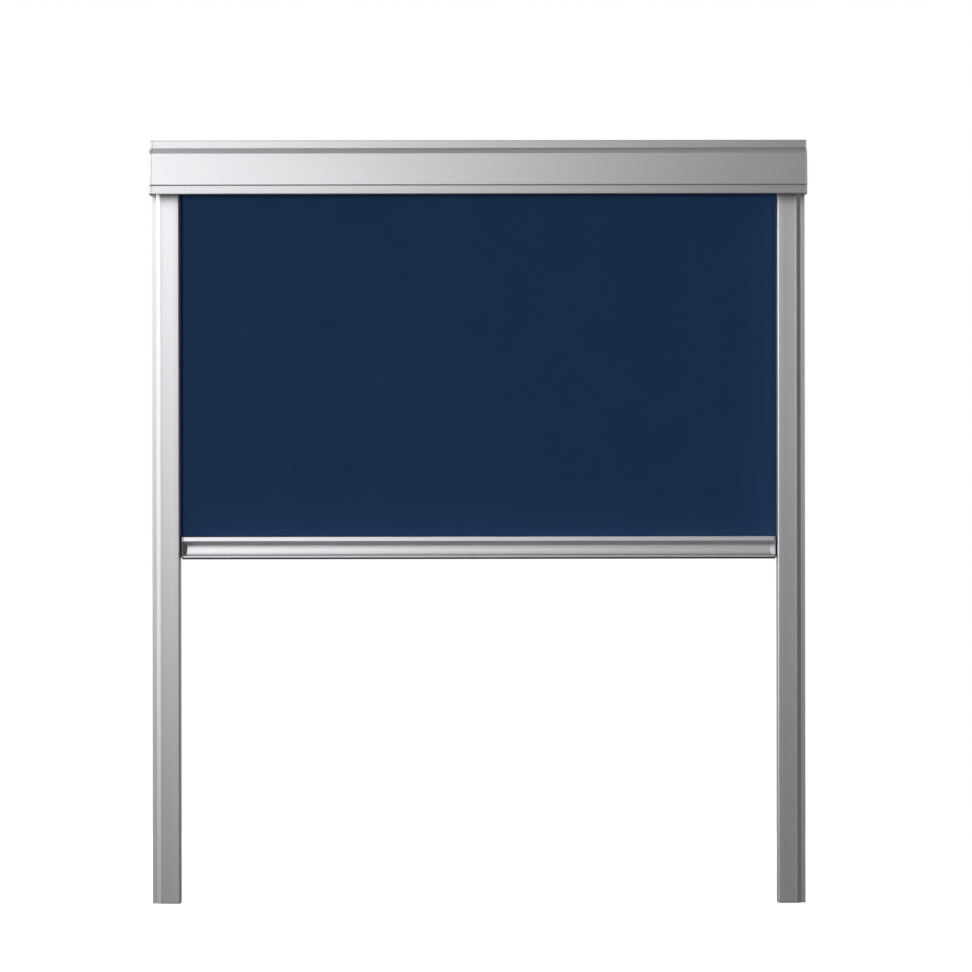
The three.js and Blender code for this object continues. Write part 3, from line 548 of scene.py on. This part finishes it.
def torsion_spring(material):
    low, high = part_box("torsion_spring")
    coil_radius = high.z - WIRE_RADIUS
    wound_length = high.x - low.x - 2 * WIRE_LEAD
    curve = bpy.data.curves.new("fine_spring", "CURVE")
    curve.dimensions = "3D"
    curve.bevel_depth = WIRE_RADIUS
    curve.bevel_resolution = WIRE_BEVEL_STEPS
    curve.use_fill_caps = True
    steps = SPRING_TURNS * SPRING_STEPS_PER_TURN
    wound_angle = 2 * math.pi * SPRING_TURNS
    line = [(low.x, 0.0)]
    for step in range(steps + 1):
        share = step / steps
        line.append((low.x + WIRE_LEAD + wound_length * share, wound_angle * share))
    line.append((high.x, wound_angle))
    spline = curve.splines.new("POLY")
    spline.points.add(len(line) - 1)
    for point, (x, angle) in zip(spline.points, line):
        y = axis_y + coil_radius * math.cos(angle)
        point.co = (x, y, axis_z + coil_radius * math.sin(angle), 1.0)
    curve.materials.append(material)
    spring = bpy.data.objects.new("fine_spring", curve)
    bpy.context.scene.collection.objects.link(spring)
    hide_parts("torsion_spring")
    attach(spring, frame["nodes"]["torsion_spring"]["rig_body"])


# Studio

def area_light(name, place, width, height, watts):
    data = bpy.data.lights.new(name, "AREA")
    data.shape = "RECTANGLE"
    data.size = width
    data.size_y = height
    data.energy = watts
    light = bpy.data.objects.new(name, data)
    light.location = place
    light.rotation_euler = (MIDDLE - Vector(place)).to_track_quat("-Z", "Y").to_euler()
    light.visible_camera = False
    bpy.context.scene.collection.objects.link(light)
    return light


def only_seen(piece):
    """The camera sees the piece, and no light bounces off it."""
    piece.visible_diffuse = False
    piece.visible_glossy = False
    piece.visible_transmission = False
    piece.visible_shadow = False


def studio():
    """A dim room with its lights, and a white backdrop and a pale floor that only the camera sees."""
    world = bpy.data.worlds.new("studio")
    world.use_nodes = True
    background = world.node_tree.nodes["Background"]
    background.inputs["Color"].default_value = (ROOM_GREY, ROOM_GREY, ROOM_GREY, 1.0)
    bpy.context.scene.world = world
    world.cycles_visibility.diffuse = False
    for name, settings in METAL_LIGHTS.items():
        light = area_light(name, *settings)
        light.visible_diffuse = False
        # One reflection only, so that recesses keep their shade
        light.data.cycles.max_bounces = 0
    for name, settings in CLOTH_LIGHTS.items():
        area_light(name, *settings).visible_glossy = False

    white = Finish("backdrop_white")
    white.set(Base_Color=BLACK, Roughness=1.0, Specular_IOR_Level=0.0)
    white.set(Emission_Color=WHITE, Emission_Strength=1.0)
    bpy.ops.mesh.primitive_uv_sphere_add(
        segments=BACKDROP_SEGMENTS, ring_count=BACKDROP_RINGS, radius=BACKDROP_RADIUS, location=MIDDLE
    )
    backdrop = bpy.context.object
    backdrop.name = "backdrop"
    backdrop.data.materials.append(white.material)
    only_seen(backdrop)

    pale = Finish("floor_pale")
    pale.set(Base_Color=(FLOOR_GREY, FLOOR_GREY, FLOOR_GREY, 1.0), Roughness=1.0)
    pale.set(Specular_IOR_Level=0.0, Emission_Color=WHITE, Emission_Strength=FLOOR_GLOW)
    floor_place = (0, 0, cad_low.z - FLOOR_DROP)
    bpy.ops.mesh.primitive_circle_add(
        vertices=FLOOR_SIDES, radius=FLOOR_RADIUS, fill_type="NGON", location=floor_place
    )
    floor = bpy.context.object
    floor.name = "floor"
    floor.data.materials.append(pale.material)
    only_seen(floor)


def photo_camera():
    data = bpy.data.cameras.new("photo_camera")
    data.sensor_width = SENSOR_WIDTH
    data.lens = FOCAL_PX * SENSOR_WIDTH / IMAGE_WIDTH_PX
    camera = bpy.data.objects.new("photo_camera", data)
    camera.location = CAMERA_PLACE
    camera.rotation_euler = (math.pi / 2, math.radians(CAMERA_ROLL_DEG), 0)
    bpy.context.scene.collection.objects.link(camera)
    bpy.context.scene.camera = camera


photo_camera()
studio()

extrusion = (EXTRUSION_TONE, EXTRUSION_ROUGHNESS, EXTRUSION_BRUSHING)
aluminium_across = satin_aluminium("aluminium_across", ACROSS, *extrusion)
aluminium_down = satin_aluminium("aluminium_down", DOWN, *extrusion)
bar_metal = bar_aluminium()
silver = silver_plastic("silver_plastic", CAP_TONE)
# A darker copy of the silver paint: painted shade on the pull bar's end caps
shaded_bar_cap_silver = silver_plastic("shaded_bar_cap_silver", SHADED_BAR_CAP_TONE)
nylon = dark_plastic()
steel = drawn_steel()
rubber = black_rubber()
felt = brake_felt()
cloth = blackout_cloth()

dress(["cassette_back_profile", "cassette_front_cover", "roller_tube"], aluminium_across)
dress(["pull_bar_profile"], bar_metal)
dress(pair("side_rail"), aluminium_down)
dress(pair("cassette_end_cap") + pair("rail_foot_cap"), silver)
# The bar's end caps take the darker silver, which is painted shade
dress(pair("bar_end_cap"), shaded_bar_cap_silver)
dress(pair("front_end_screw") + pair("rear_end_screw") + pair("brake_spring"), steel, edge_round=0)
dress(["spring_shaft", "idle_pin"], steel, edge_round=0)
dress(["cloth_key"], silver, edge_round=0)
dress(pair("tube_plug") + pair("slider_shoe"), nylon)
dress(["spring_anchor", "hem_spline"], nylon, edge_round=0)
dress(pair("brake_pad"), felt)
dress(["bottom_seal"], rubber, edge_round=0)

wound_cloth(cloth)
hanging_cloth(cloth)
torsion_spring(steel)

bpy.context.scene.view_settings.view_transform = "Standard"
